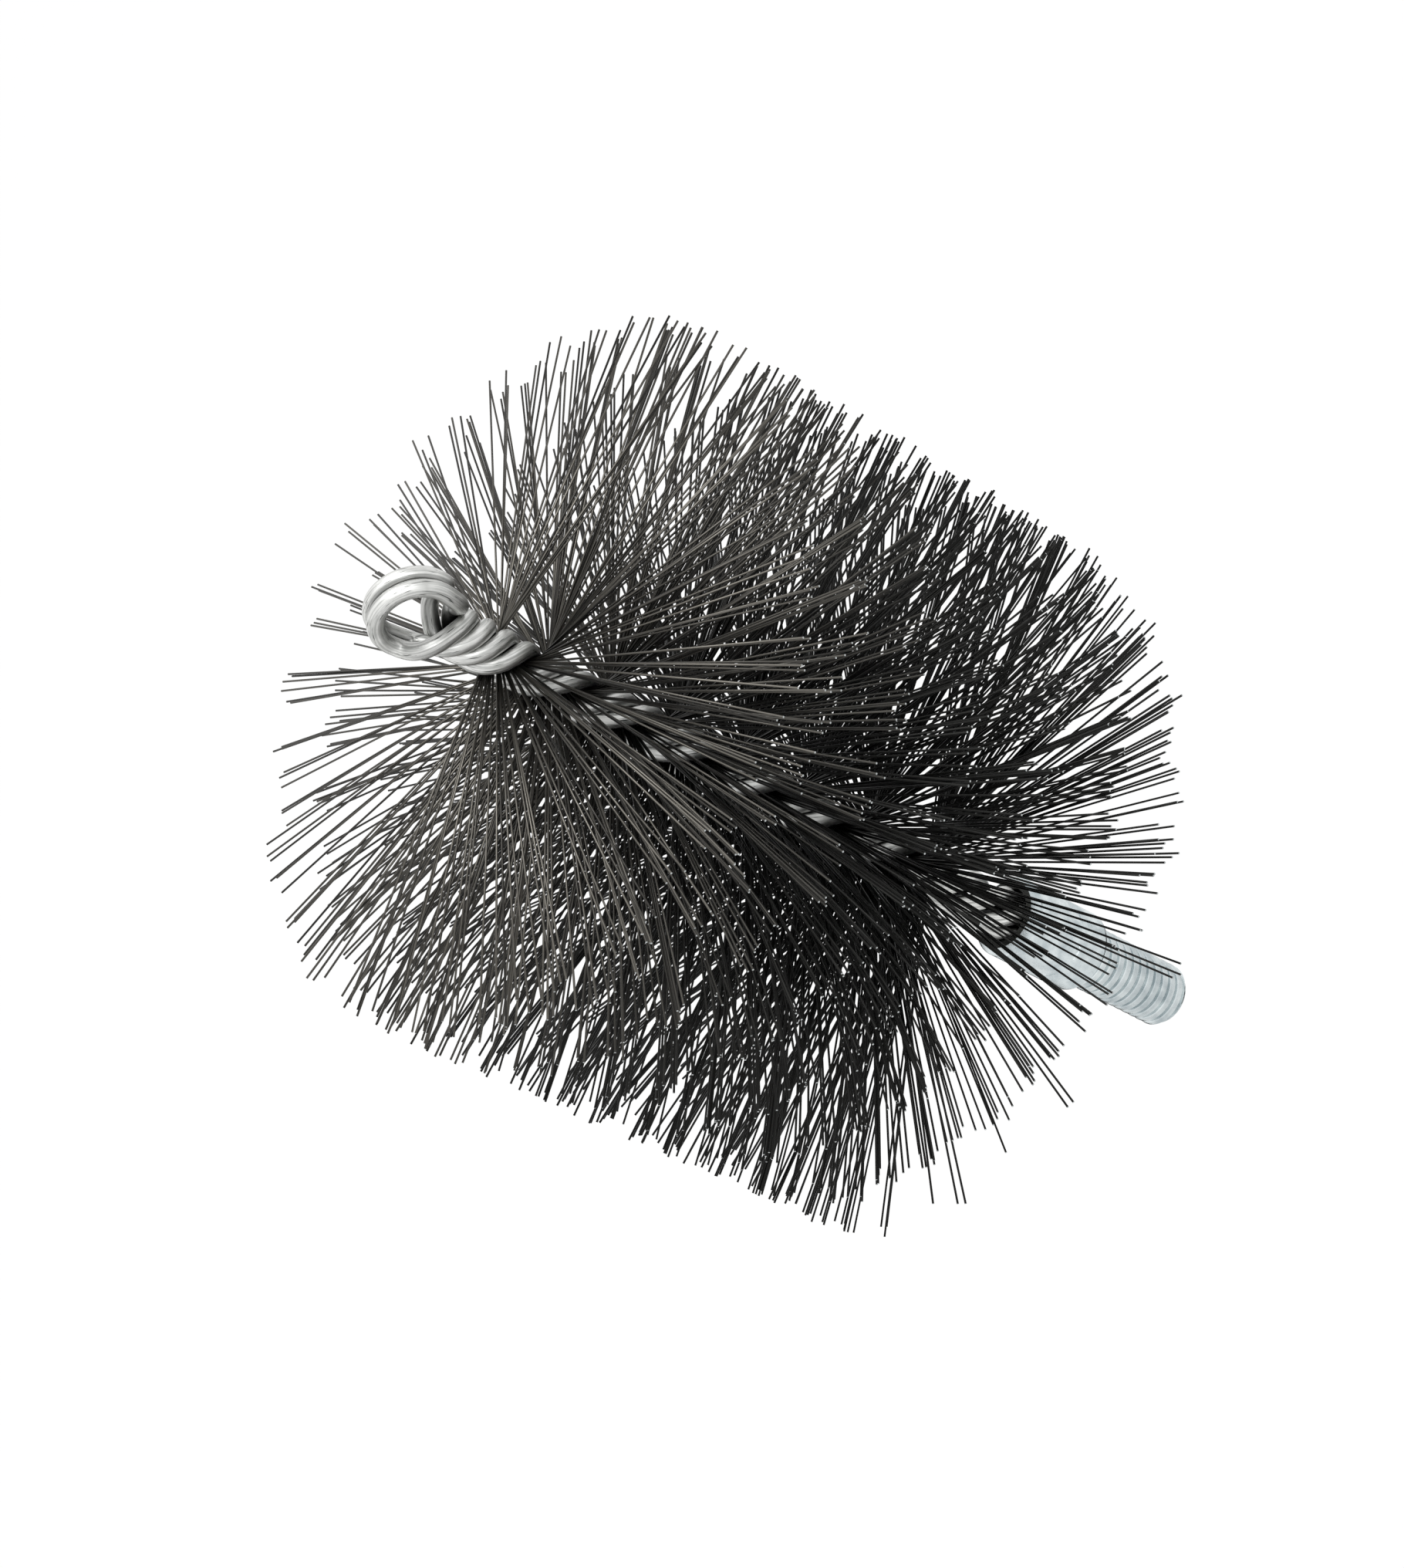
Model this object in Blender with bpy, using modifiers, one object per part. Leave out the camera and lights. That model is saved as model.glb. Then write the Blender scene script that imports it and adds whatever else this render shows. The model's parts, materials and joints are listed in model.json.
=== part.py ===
"""Twisted-wire tube brush head, in metres, +Z from the end of the stud to the eye.

Two steel wires are each folded in half. The folds lie side by side as the eye at the tip,
and the four legs are twisted together, left-handed, round a row of straight bristle wires.
The twist turns the bristles into two opposite screw-shaped sheets. The legs end in the bore
of a turned fitting, whose sleeve is pressed on them and whose stud screws into a rod.
"""

import math
import random

import bmesh
import bpy
from mathutils import Matrix, Vector

for old_object in list(bpy.data.objects):
    bpy.data.objects.remove(old_object, do_unlink=True)

# Brush size
BRISTLE_REACH = 0.0600          # from the axis to the tips: a 120 mm brush
BRISTLE_ZONE = 0.1015           # length of stem that holds bristles

# Stem wires
WIRE_DIAMETER = 0.0026
FIT_GAP = 0.0003                # clearance between neighbouring pieces
NECK_LENGTH = 0.0189            # bare stem between the fitting and the bristles
SHANK_LENGTH = 0.0094           # bare stem between the bristles and the eye
LEG_SPREAD_SHARE = 1.02         # radius of the legs' circle, in wire diameters, before the gap
SHANK_LAY_SHARE = 1.80          # length of one full twist, in stem diameters
ZONE_LAY_SHARE = 3.57
EASE_INSET = 0.0020             # how far before the bristles the twist starts to slacken
EASE_LENGTH = 0.0086            # how slowly it slackens
TWIST_START = math.radians(32.0)     # turn of the legs where the eye's round lets them go
POINTS_PER_TURN = 12
WIRE_STEPS = 2                  # bevel resolution: eight sides

# Eye at the tip
EYE_RADIUS = 0.0062             # centre line of the eye's round
EYE_RISE = 0.00616              # from the end of the twist to the centre of the eye
CROSSING_OPEN = math.radians(3.6)   # where the round is left by the leg that crosses in front
OUTER_OPEN = math.radians(5.5)      # and by the leg that stays on its own side
CROSSING_SHARES = (0.42, 0.72)       # handles of the two bends, as shares of their span
OUTER_SHARES = (0.85, 0.32)
LEG_SWELL = 0.00038             # the legs stand this much wider where the twist ends
SWELL_LENGTH = 0.0034
ARC_POINTS = 14
BEND_POINTS = 9
WAY_STEP_SHARE = 0.01           # of the swell's length, for the direction of a leg's end

# Bristles
TUFTS = 24
STRANDS_PER_SIDE = 9
BRISTLE_THICKNESS = 0.00036
BRISTLE_FILL_SHARE = 0.66       # of the pitch along the stem
END_LEAN = 0.0100               # how far the tips next to the eye fall back towards the stud
LEAN_LENGTH = 0.0160            # stretch of the stem over which that lean fades out
END_TILT = 0.0100               # how far the last wires by the stud tilt, up one side, down the other
TILT_LENGTH = 0.0240            # stretch over which the tilt fades out
TILT_ANGLE = math.radians(31.0)      # the side that tilts up
REACH_SPREAD = 0.0015           # unevenness of the cut ends
CLUMP_SIZE = 3
CLUMP_SHARE = 0.45              # how far the tips of a clump are drawn together
CUT_SEED = 12

# End fitting
STUD_DIAMETER = 0.0100
STUD_LENGTH = 0.0227
STUD_CHAMFER = 0.0010
COLLAR_LENGTH = 0.0060          # solid end of the body, left round by the press
COLLAR_ROUND = 0.0011
SLEEVE_WALL = 0.0024
SLEEVE_LENGTH = 0.0129
SLEEVE_CHAMFER = 0.0010         # round the outside of the open end
BORE_CHAMFER = 0.0004
BORE_DEPTH = 0.0117
PRESS_DEPTH = 0.0005            # how far the press flats sink into the sleeve
PRESS_LENGTH = 0.0110
PRESS_INSET = 0.0017            # from the sleeve's free end to the flats
PRESS_FLATS = 6
PRESS_OVERRUN = 0.0020
TURNED_STEPS = 48
ROUND_STEPS = 5
MERGE_DISTANCE = 0.00001
SHARP_ANGLE = math.radians(35.0)

# Sizes that follow
leg_circle = LEG_SPREAD_SHARE * WIRE_DIAMETER + FIT_GAP
stem_diameter = 2 * leg_circle + WIRE_DIAMETER
core_width = stem_diameter + 2 * FIT_GAP
bore_diameter = stem_diameter + 2 * FIT_GAP
sleeve_diameter = bore_diameter + 2 * SLEEVE_WALL
shank_rate = 2 * math.pi / (SHANK_LAY_SHARE * stem_diameter)
zone_rate = 2 * math.pi / (ZONE_LAY_SHARE * stem_diameter)
slice_pitch = BRISTLE_ZONE / TUFTS
slice_length = slice_pitch - FIT_GAP
strand_pitch = slice_length / STRANDS_PER_SIDE

# Places along the axis
seat_z = STUD_LENGTH
sleeve_z = seat_z + COLLAR_LENGTH
sleeve_top_z = sleeve_z + SLEEVE_LENGTH
bore_floor_z = sleeve_top_z - BORE_DEPTH
zone_start_z = sleeve_top_z + NECK_LENGTH
zone_end_z = zone_start_z + BRISTLE_ZONE
twist_end_z = zone_end_z + SHANK_LENGTH
eye_z = twist_end_z + EYE_RISE
ease_z = zone_end_z + EASE_INSET


def new_collection(name):
    collection = bpy.data.collections.new(name)
    bpy.context.scene.collection.children.link(collection)
    return collection


parts = new_collection("tube_brush_head")
cutters = new_collection("cutters")


def new_material(name, colour, roughness, metallic):
    material = bpy.data.materials.new(name)
    material.use_nodes = True
    shader = material.node_tree.nodes["Principled BSDF"]
    shader.inputs["Base Color"].default_value = (*colour, 1.0)
    shader.inputs["Roughness"].default_value = roughness
    shader.inputs["Metallic"].default_value = metallic
    return material


def twist_rate(z):
    """Turn of the stem per metre at height z: tight by the eye, slacker along the bristles."""
    return zone_rate + (shank_rate - zone_rate) * math.exp(min(0.0, z - ease_z) / EASE_LENGTH)


def twist_angle(z):
    """How far the stem has turned at height z. It grows towards the stud."""
    if z >= ease_z:
        return TWIST_START + shank_rate * (twist_end_z - z)
    eased = (shank_rate - zone_rate) * EASE_LENGTH * (1 - math.exp((z - ease_z) / EASE_LENGTH))
    return TWIST_START + shank_rate * (twist_end_z - ease_z) + zone_rate * (ease_z - z) + eased


def leg_point(z, start_angle):
    angle = start_angle + twist_angle(z)
    swell = max(0.0, 1 - (twist_end_z - z) / SWELL_LENGTH)
    radius = leg_circle + LEG_SWELL * swell * swell
    return Vector((radius * math.cos(angle), radius * math.sin(angle), z))


def leg_points(start_angle):
    """Centre line of one leg. Its slanting end stands just clear of the floor of the bore."""
    bottom_z = bore_floor_z + FIT_GAP + WIRE_DIAMETER / 2
    turn = 2 * math.pi / POINTS_PER_TURN
    points = []
    z = twist_end_z
    while z > bottom_z + turn / twist_rate(z) / 2:
        points.append(leg_point(z, start_angle))
        z -= turn / twist_rate(z)
    points.append(leg_point(bottom_z, start_angle))
    return points


def leg_way(start_angle):
    """Direction in which a leg runs down from the end of the twist."""
    step = SWELL_LENGTH * WAY_STEP_SHARE
    return leg_point(twist_end_z - step, start_angle) - leg_point(twist_end_z, start_angle)


def bend_points(start, start_way, end, end_way, shares):
    """Inner points of a bend between the eye's round and a leg."""
    span = (end - start).length
    first = start + start_way.normalized() * span * shares[0]
    second = end - end_way.normalized() * span * shares[1]
    points = []
    for index in range(1, BEND_POINTS + 1):
        t = index / (BEND_POINTS + 1)
        s = 1 - t
        points.append(start * s**3 + first * 3 * s * s * t + second * 3 * s * t * t + end * t**3)
    return points


def folded_wire_points():
    """Centre line of one folded wire: up one leg, round the eye and down the other leg."""
    crossing_angle = math.radians(270.0)
    crossing = leg_points(crossing_angle)
    outer = leg_points(0.0)
    eye_side = -(WIRE_DIAMETER + FIT_GAP) / 2
    arc_start = math.pi + CROSSING_OPEN
    arc_turn = math.pi + CROSSING_OPEN + OUTER_OPEN
    arc = []
    for index in range(ARC_POINTS):
        angle = arc_start - arc_turn * index / (ARC_POINTS - 1)
        height = eye_z + EYE_RADIUS * math.sin(angle)
        arc.append(Vector((EYE_RADIUS * math.cos(angle), eye_side, height)))
    first_way = Vector((math.sin(CROSSING_OPEN), 0, -math.cos(CROSSING_OPEN)))
    last_way = Vector((-math.sin(OUTER_OPEN), 0, -math.cos(OUTER_OPEN)))
    into_round = bend_points(arc[0], first_way, crossing[0], leg_way(crossing_angle), CROSSING_SHARES)
    out_of_round = bend_points(arc[-1], last_way, outer[0], leg_way(0.0), OUTER_SHARES)
    return crossing[::-1] + into_round[::-1] + arc + out_of_round + outer


def make_wire(name, points, material):
    curve = bpy.data.curves.new(name, "CURVE")
    curve.dimensions = "3D"
    curve.bevel_depth = WIRE_DIAMETER / 2
    curve.bevel_resolution = WIRE_STEPS
    curve.use_fill_caps = True
    spline = curve.splines.new("POLY")
    spline.points.add(len(points) - 1)
    for target, point in zip(spline.points, points):
        target.co = (*point, 1.0)
    spline.use_smooth = True
    curve.materials.append(material)
    wire = bpy.data.objects.new(name, curve)
    parts.objects.link(wire)
    return wire


def least_gap(points, others, skip):
    """Least clear distance between two runs of wire, leaving out near neighbours."""
    best = None
    for index, point in enumerate(points):
        for other_index, other in enumerate(others):
            if skip and abs(index - other_index) < skip:
                continue
            distance = (point - other).length - WIRE_DIAMETER
            if best is None or distance < best:
                best = distance
    return best


def make_stem():
    """The two folded wires. The back one is the front one turned half round the axis."""
    galvanised = new_material("galvanised_wire", (0.50, 0.51, 0.50), 0.42, 1.0)
    front = folded_wire_points()
    half_turn = Matrix.Rotation(math.pi, 3, "Z")
    back = [half_turn @ point for point in front]
    make_wire("stem_wire_front", front, galvanised)
    make_wire("stem_wire_back", back, galvanised)
    own_gap = least_gap(front, front, POINTS_PER_TURN // 2)
    pair_gap = least_gap(front, back, 0)
    print(f"stem: {len(front)} points a wire, least gap {own_gap * 1000:.2f} mm to itself,",
          f"{pair_gap * 1000:.2f} mm between the wires, diameter {stem_diameter * 1000:.2f} mm")


def tip_drop(z, angle):
    """How far below its clamped middle the tip of a bristle lies."""
    lean_share = max(0.0, 1 - (zone_end_z - z) / LEAN_LENGTH)
    tilt_share = max(0.0, 1 - (z - zone_start_z) / TILT_LENGTH)
    lean = END_LEAN * lean_share * lean_share
    tilt = END_TILT * tilt_share * tilt_share * math.cos(angle - TILT_ANGLE)
    return lean - tilt


def sheet_angle(z):
    """Direction of the bristle sheets, halfway between the legs of one wire."""
    return twist_angle(z) - math.pi / 4


def strand_centre(tuft, strand):
    return zone_start_z + slice_pitch * tuft + FIT_GAP / 2 + strand_pitch * (strand + 0.5)


def clump_centre(tuft, strand):
    first = strand - strand % CLUMP_SIZE
    last = min(first + CLUMP_SIZE, STRANDS_PER_SIDE) - 1
    return (strand_centre(tuft, first) + strand_centre(tuft, last)) / 2


def strand_tip(tuft, strand, side, reach):
    """End of a bristle's middle line. The tips of a clump are drawn together."""
    own = strand_centre(tuft, strand)
    shared = clump_centre(tuft, strand)
    angle = sheet_angle(own) + (sheet_angle(shared) - sheet_angle(own)) * CLUMP_SHARE
    if side < 0:
        angle += math.pi
    drop = tip_drop(own, angle)
    radius = math.sqrt(reach * reach - drop * drop)
    return Vector((radius * math.cos(angle), radius * math.sin(angle), own - drop))


def segment_distance(a, b, c, d):
    """Least distance between the straight pieces a-b and c-d."""
    u, v, w = b - a, d - c, a - c
    uu, uv, vv, uw, vw = u.dot(u), u.dot(v), v.dot(v), u.dot(w), v.dot(w)
    bottom = uu * vv - uv * uv
    s = min(1.0, max(0.0, (uv * vw - vv * uw) / bottom)) if bottom > 0 else 0.0
    t = min(1.0, max(0.0, (uv * s + vw) / vv))
    s = min(1.0, max(0.0, (uv * t - uw) / uu))
    return (a + u * s - c - v * t).length


def make_tuft(tuft, material, randomness, lines):
    """One slice of the clamped bristles: a twisted core strip, with strands drawn from its edges."""
    half_height = strand_pitch * BRISTLE_FILL_SHARE / 2
    middle_z = zone_start_z + slice_pitch * (tuft + 0.5)

    strip = bmesh.new()
    size = Matrix.Diagonal((core_width, BRISTLE_THICKNESS, slice_length, 1.0))
    bmesh.ops.create_cube(strip, size=1.0, matrix=Matrix.Translation((0, 0, middle_z)) @ size)
    for strand in range(STRANDS_PER_SIDE):
        for edge in (-half_height, half_height):
            everything = strip.verts[:] + strip.edges[:] + strip.faces[:]
            level = Vector((0, 0, strand_centre(tuft, strand) + edge))
            bmesh.ops.bisect_plane(strip, geom=everything, plane_co=level, plane_no=(0, 0, 1))

    strand_faces = []
    for face in strip.faces:
        centre = face.calc_center_median()
        place = (centre.z - strand_centre(tuft, 0)) / strand_pitch
        on_strand = abs(place - round(place)) < BRISTLE_FILL_SHARE / 4
        if abs(centre.x) > core_width / 4 and on_strand:
            strand_faces.append(face)
    drawn = bmesh.ops.extrude_discrete_faces(strip, faces=strand_faces)["faces"]

    tip_places = {}
    for face in sorted(drawn, key=lambda item: tuple(item.calc_center_median())):
        centre = face.calc_center_median()
        strand = round((centre.z - strand_centre(tuft, 0)) / strand_pitch)
        side = 1 if centre.x > 0 else -1
        root_z = strand_centre(tuft, strand)
        tip = strand_tip(tuft, strand, side, BRISTLE_REACH - REACH_SPREAD * randomness.random())
        root = Matrix.Rotation(sheet_angle(root_z), 3, "Z") @ Vector((side * core_width / 2, 0, root_z))
        lines.append((root, tip))
        tip_turn = Matrix.Rotation(math.atan2(side * tip.y, side * tip.x), 3, "Z")
        for vert in face.verts:
            corner = Vector((0, vert.co.y, vert.co.z - root_z))
            tip_places[vert] = tip + tip_turn @ corner
    for vert in strip.verts:
        twist = Matrix.Rotation(sheet_angle(vert.co.z), 3, "Z")
        vert.co = tip_places.get(vert) or twist @ vert.co

    mesh = bpy.data.meshes.new(f"bristle_tuft_{tuft + 1:02d}")
    strip.to_mesh(mesh)
    strip.free()
    mesh.materials.append(material)
    parts.objects.link(bpy.data.objects.new(mesh.name, mesh))


def make_bristles():
    dark_steel = new_material("dark_steel_bristle", (0.03, 0.028, 0.026), 0.45, 1.0)
    randomness = random.Random(CUT_SEED)
    lines = []
    for tuft in range(TUFTS):
        make_tuft(tuft, dark_steel, randomness, lines)
    gaps = []
    for index, (root, tip) in enumerate(lines):
        for other_root, other_tip in lines[index + 1:]:
            if abs(root.z - other_root.z) < 2 * END_LEAN and root.dot(other_root) > 0:
                gaps.append(segment_distance(root, tip, other_root, other_tip))
    least = min(gaps) - BRISTLE_THICKNESS
    print(f"bristles: {len(lines)} strands, least gap {least * 1000:.2f} mm")


def turned(name, outline, steps, collection):
    """A profile at +X spun round the Z axis. The profile runs down its outer side."""
    mesh = bpy.data.meshes.new(name)
    profile = bmesh.new()
    corners = [profile.verts.new((x, 0.0, z)) for x, z in outline]
    for first, second in zip(corners, corners[1:]):
        profile.edges.new((first, second))
    profile.to_mesh(mesh)
    profile.free()
    item = bpy.data.objects.new(name, mesh)
    collection.objects.link(item)
    spin = item.modifiers.new("spin", "SCREW")
    spin.axis = "Z"
    spin.steps = steps
    spin.render_steps = steps
    spin.use_merge_vertices = True
    spin.merge_threshold = MERGE_DISTANCE
    spin.use_smooth_shade = False
    return item


def shade_round(item):
    """Apply an item's modifiers, and shade it smooth between its sharp edges."""
    evaluated = item.evaluated_get(bpy.context.evaluated_depsgraph_get())
    mesh = bpy.data.meshes.new_from_object(evaluated)
    mesh.shade_smooth()
    mesh.set_sharp_from_angle(angle=SHARP_ANGLE)
    item.modifiers.clear()
    item.data = mesh


def quarter_round(centre_x, centre_z):
    """Points of the body's rounded shoulder, running down the outer side."""
    points = []
    for index in range(ROUND_STEPS + 1):
        angle = -math.pi / 2 * index / ROUND_STEPS
        x = centre_x + COLLAR_ROUND * math.cos(angle)
        points.append((x, centre_z + COLLAR_ROUND * math.sin(angle)))
    return points


def make_press_cutter():
    """A ring whose hexagonal hole leaves the flats of the press tool on the sleeve."""
    across = sleeve_diameter / 2 - PRESS_DEPTH
    corner = across / math.cos(math.pi / PRESS_FLATS)
    clear_of_body = sleeve_diameter / 2 + PRESS_OVERRUN
    top_z = sleeve_top_z - PRESS_INSET
    bottom_z = top_z - PRESS_LENGTH
    ring = [(corner, top_z), (clear_of_body, top_z), (clear_of_body, bottom_z)]
    ring += [(corner, bottom_z), (corner, top_z)]
    cutter = turned("press_flats", ring, PRESS_FLATS, cutters)
    cutter.hide_render = True
    cutter.display_type = "WIRE"
    return cutter


def make_fitting():
    """A turned body with a blind bore, its sleeve pressed to a row of flats round the stem."""
    zinc = new_material("zinc_plated_steel", (0.62, 0.67, 0.70), 0.25, 1.0)
    bore = bore_diameter / 2
    sleeve = sleeve_diameter / 2
    stud = STUD_DIAMETER / 2

    outline = [(0.0, bore_floor_z), (bore, bore_floor_z), (bore, sleeve_top_z - BORE_CHAMFER)]
    outline += [(bore + BORE_CHAMFER, sleeve_top_z), (sleeve - SLEEVE_CHAMFER, sleeve_top_z)]
    outline += [(sleeve, sleeve_top_z - SLEEVE_CHAMFER)]
    outline += quarter_round(sleeve - COLLAR_ROUND, seat_z + COLLAR_ROUND)
    outline += [(stud, seat_z), (stud, STUD_CHAMFER), (stud - STUD_CHAMFER, 0.0), (0.0, 0.0)]
    body = turned("threaded_fitting", outline, TURNED_STEPS, parts)
    body.data.materials.append(zinc)
    cut = body.modifiers.new("press_flats", "BOOLEAN")
    cut.operation = "DIFFERENCE"
    cut.solver = "EXACT"
    cut.object = make_press_cutter()
    shade_round(body)


make_fitting()
make_stem()
make_bristles()
print(f"overall length {(eye_z + EYE_RADIUS + WIRE_DIAMETER / 2) * 1000:.1f} mm")
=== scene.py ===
# %% [markdown]
# # The looks of a twisted-wire tube brush head
#
# The real object is a flue brush: straight, dark steel wires are clamped between galvanised
# stem wires that are twisted together. The stem ends in an eye at one end and in a zinc-plated
# fitting with a screw thread at the other. The solid model is loaded first and stays where it is.
# Every piece below is made round it, in the same place and size.

import json
import math

import bmesh
import bpy
from mathutils import Matrix, Vector

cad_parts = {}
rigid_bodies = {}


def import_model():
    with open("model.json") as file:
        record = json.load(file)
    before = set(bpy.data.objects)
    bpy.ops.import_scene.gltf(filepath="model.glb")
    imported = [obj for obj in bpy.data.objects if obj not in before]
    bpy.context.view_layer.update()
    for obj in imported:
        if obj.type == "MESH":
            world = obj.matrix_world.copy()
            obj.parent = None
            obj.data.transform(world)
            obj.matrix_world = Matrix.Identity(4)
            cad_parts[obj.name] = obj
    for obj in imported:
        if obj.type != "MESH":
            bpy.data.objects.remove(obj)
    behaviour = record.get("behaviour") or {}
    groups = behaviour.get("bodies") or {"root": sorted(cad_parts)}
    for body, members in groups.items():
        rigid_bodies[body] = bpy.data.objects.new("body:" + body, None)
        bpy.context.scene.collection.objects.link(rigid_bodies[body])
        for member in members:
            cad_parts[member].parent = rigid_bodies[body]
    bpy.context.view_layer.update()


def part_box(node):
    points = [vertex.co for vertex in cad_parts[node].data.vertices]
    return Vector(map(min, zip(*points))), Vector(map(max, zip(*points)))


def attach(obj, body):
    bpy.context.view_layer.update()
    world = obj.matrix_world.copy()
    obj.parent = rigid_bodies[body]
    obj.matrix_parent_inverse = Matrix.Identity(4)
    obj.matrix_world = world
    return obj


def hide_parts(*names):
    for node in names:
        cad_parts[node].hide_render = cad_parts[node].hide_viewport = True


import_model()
MM = 0.001

# %% [markdown]
# ## Sizes
#
# A brush like this is described by few numbers: its wires, the length of one full twist, and the
# bristles' reach. Places along the stem could be typed in again, but they are read from the solid
# model's nodes instead, so that the dressed piece can't drift away from it. The middle tufts have
# no lean, so two of them give the pitch of the slices, and that gives the ends of the bristles.

# %% Sizes of the real head, and places read from the solid model
STEM_WIRE = 2.88 * MM            # galvanised stem wire: neighbours touch
SOLID_WIRE = 2.6 * MM            # the same wire in the solid model
SOLID_GAP = 0.3 * MM             # clearance between the solid model's pieces
LEG_CIRCLE = 1.02 * SOLID_WIRE + SOLID_GAP
STEM_DIAMETER = 2 * LEG_CIRCLE + SOLID_WIRE
SHANK_LAY = 1.80 * STEM_DIAMETER     # one full twist in the bare shank
ZONE_LAY = 3.57 * STEM_DIAMETER      # and between the bristles
SHANK_LENGTH = 9.4 * MM
EASE_INSET = 2.0 * MM            # the twist slackens from here on, towards the bristles
EASE_LENGTH = 8.6 * MM
TWIST_START = math.radians(32)    # turn of the legs where the eye's round lets them go
EYE_RADIUS = 6.2 * MM            # centre line of the eye's round
EYE_RISE = 6.16 * MM             # from the end of the twist to the eye's centre
BRISTLE_REACH = 60 * MM          # from the axis to the tips
TUFTS = 24
MIDDLE_TUFT = 12

tuft_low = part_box(f"bristle_tuft_{MIDDLE_TUFT:02d}")[0].z
slice_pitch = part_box(f"bristle_tuft_{MIDDLE_TUFT + 1:02d}")[0].z - tuft_low
zone_bottom = tuft_low - SOLID_GAP / 2 - slice_pitch * (MIDDLE_TUFT - 1)
zone_top = zone_bottom + slice_pitch * TUFTS
twist_end = zone_top + SHANK_LENGTH
ease_start = zone_top + EASE_INSET
wire_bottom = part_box("stem_wire_front")[0].z
eye_centre = twist_end + EYE_RISE
fitting_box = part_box("threaded_fitting")
fitting_top = fitting_box[1].z
fitting_radius = fitting_box[1].x
shank_rate = 2 * math.pi / SHANK_LAY
zone_rate = 2 * math.pi / ZONE_LAY
print(f"bristles from {zone_bottom / MM:.1f} to {zone_top / MM:.1f} mm, eye at {eye_centre / MM:.1f} mm,",
      f"fitting {fitting_top / MM:.1f} mm long and {2 * fitting_radius / MM:.1f} mm across")

# %% [markdown]
# ## Small helpers
#
# Node trees, for shapes and for finishes, are built here in the script. Clicking them together by
# hand would be quicker once, but a script can be read, changed and run again. One function adds a
# node, sets it up and links it.

# %% One function that adds a node, and small ones for colours, finishes and pieces
def add(tree, kind, inputs=(), **settings):
    """Add a node. An input takes a value, a socket, or a node, whose first output in use is linked."""
    node = tree.nodes.new(kind)
    for name, value in settings.items():
        setattr(node, name, value)
    for socket, value in dict(inputs).items():
        if isinstance(value, bpy.types.Node):
            value = next(output for output in value.outputs if output.enabled)
        if isinstance(value, bpy.types.NodeSocket):
            tree.links.new(value, node.inputs[socket])
        else:
            node.inputs[socket].default_value = value
    return node


def linear(colour):
    """Turn an sRGB hex colour such as b9bcb9 into the linear values that a shader wants."""
    values = []
    for start in (0, 2, 4):
        share = int(colour[start:start + 2], 16) / 255
        values.append(share / 12.92 if share <= 0.04045 else ((share + 0.055) / 1.055) ** 2.4)
    return (*values, 1.0)


def new_finish(name):
    """A material whose node tree is still empty."""
    finish = bpy.data.materials.new(name)
    finish.use_nodes = True
    finish.node_tree.nodes.clear()
    return finish


def new_piece(name, mesh, finish):
    piece = bpy.data.objects.new(name, mesh)
    bpy.context.scene.collection.objects.link(piece)
    if finish:
        mesh.materials.append(finish)
    return piece


print("helpers ready")

# %% [markdown]
# ## Finish of the stem: galvanised steel wire
#
# The wire was drawn through a die and dipped in zinc: a satin, light grey metal with fine streaks
# along the wire, and darker scratches where the twisting tool and the neighbouring wires rubbed
# it. A picture could be wrapped round the wire, but the streaks then need an exact layout. Here
# each point of the wire knows how far along it is and where round it is, and noise that is
# stretched along the wire does the rest.

# %% Galvanised wire: streaks, scratches and dull clouds
STREAK_WIDTH = 0.34 * MM         # real drawing lines are finer: this is as coarse as the render needs
STREAK_LENGTH = 9.0 * MM
SCRATCH_LENGTH = 3.5 * MM
BLOOM_SIZE = 2.2 * MM            # soft clouds of duller zinc

galvanised = new_finish("galvanised_drawn_steel_wire")
tree = galvanised.node_tree
along = add(tree, "ShaderNodeAttribute", attribute_name="along").outputs["Fac"]
around = add(tree, "ShaderNodeAttribute", attribute_name="around").outputs["Vector"]
ring = add(tree, "ShaderNodeSeparateXYZ", {0: around}).outputs
place = add(tree, "ShaderNodeTexCoord").outputs["Object"]


def noise_along(first, second, length, detail):
    """Noise that is stretched along the wire to this length."""
    shrunk = add(tree, "ShaderNodeMath", {0: along, 1: STREAK_WIDTH / length}, operation="MULTIPLY")
    spot = add(tree, "ShaderNodeCombineXYZ", {"X": ring[first], "Y": ring[second], "Z": shrunk})
    return add(tree, "ShaderNodeTexNoise", {"Vector": spot, "Scale": 1 / STREAK_WIDTH, "Detail": detail})


streaks = noise_along("X", "Y", STREAK_LENGTH, 3.0)
scratches = noise_along("Y", "X", SCRATCH_LENGTH, 5.0)
scratch_mask = add(tree, "ShaderNodeMapRange", {"Value": scratches, "From Min": 0.60, "From Max": 0.68})
bloom = add(tree, "ShaderNodeTexNoise", {"Vector": place, "Scale": 1 / BLOOM_SIZE, "Detail": 2.0})
streak_share = add(tree, "ShaderNodeMapRange", {"Value": streaks, "From Min": 0.34, "From Max": 0.62})
streak_colour = add(tree, "ShaderNodeMix",
                    {"Factor": streak_share, "A": linear("bcbdbb"), "B": linear("fbfbf9")}, data_type="RGBA")
bloom_colour = add(tree, "ShaderNodeMix",
                   {"Factor": bloom, "A": linear("cbccca"), "B": linear("ffffff")}, data_type="RGBA")
clouded = add(tree, "ShaderNodeMix", {"Factor": 1.0, "A": streak_colour, "B": bloom_colour},
              data_type="RGBA", blend_type="MULTIPLY")
scratched = add(tree, "ShaderNodeMix", {"Factor": scratch_mask, "A": clouded, "B": linear("4c4e4c")},
                data_type="RGBA")
satin = add(tree, "ShaderNodeMapRange",
            {"Value": streaks, "From Min": 0.3, "From Max": 0.7, "To Min": 0.50, "To Max": 0.34})
relief = add(tree, "ShaderNodeBump", {"Height": streaks, "Strength": 0.4, "Distance": 0.06 * MM})
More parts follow.
